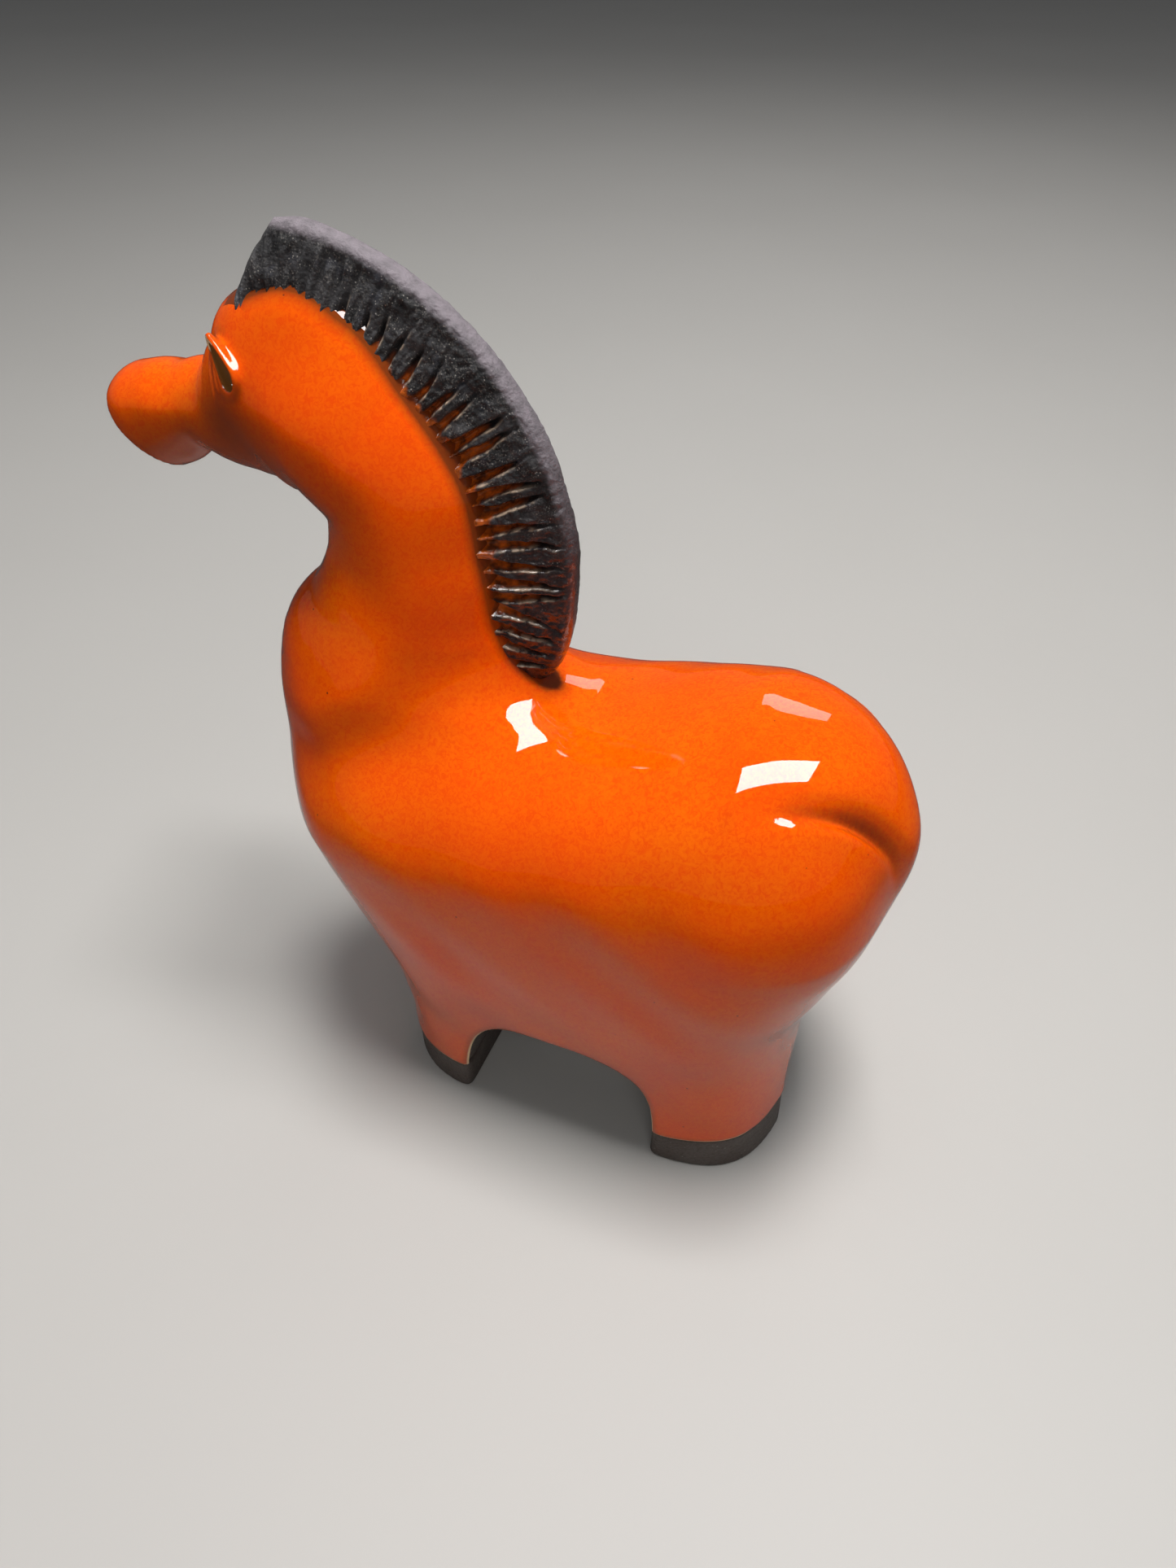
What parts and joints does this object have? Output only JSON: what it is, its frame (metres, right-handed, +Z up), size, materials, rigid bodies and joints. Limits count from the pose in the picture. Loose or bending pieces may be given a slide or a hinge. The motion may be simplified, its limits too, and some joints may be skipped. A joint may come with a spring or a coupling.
{
  "type": "glazed stoneware horse figure",
  "caption": "Stylised glazed stoneware horse with a combed bare-clay mane, hollow casting and four bare-clay hooves.",
  "frame": {"origin": "on the standing surface, below the middle of the overall length, in the plane of symmetry", "axes": "+Z up, head towards -X, the horse's left flank towards -Y"},
  "size_m": [0.2681, 0.1176, 0.3],
  "materials": {
    "orange_glaze": "glossy",
    "dark_clay": "matte"
  },
  "bodies": {
    "root": {"body_casting": "dark_clay", "glaze_coat": "orange_glaze", "mane_crest": "dark_clay", "ear_left": "orange_glaze", "ear_right": "orange_glaze", "tail": "orange_glaze", "hoof_front_left": "dark_clay", "hoof_front_right": "dark_clay", "hoof_rear_left": "dark_clay", "hoof_rear_right": "dark_clay"}
  },
  "joints": []
}
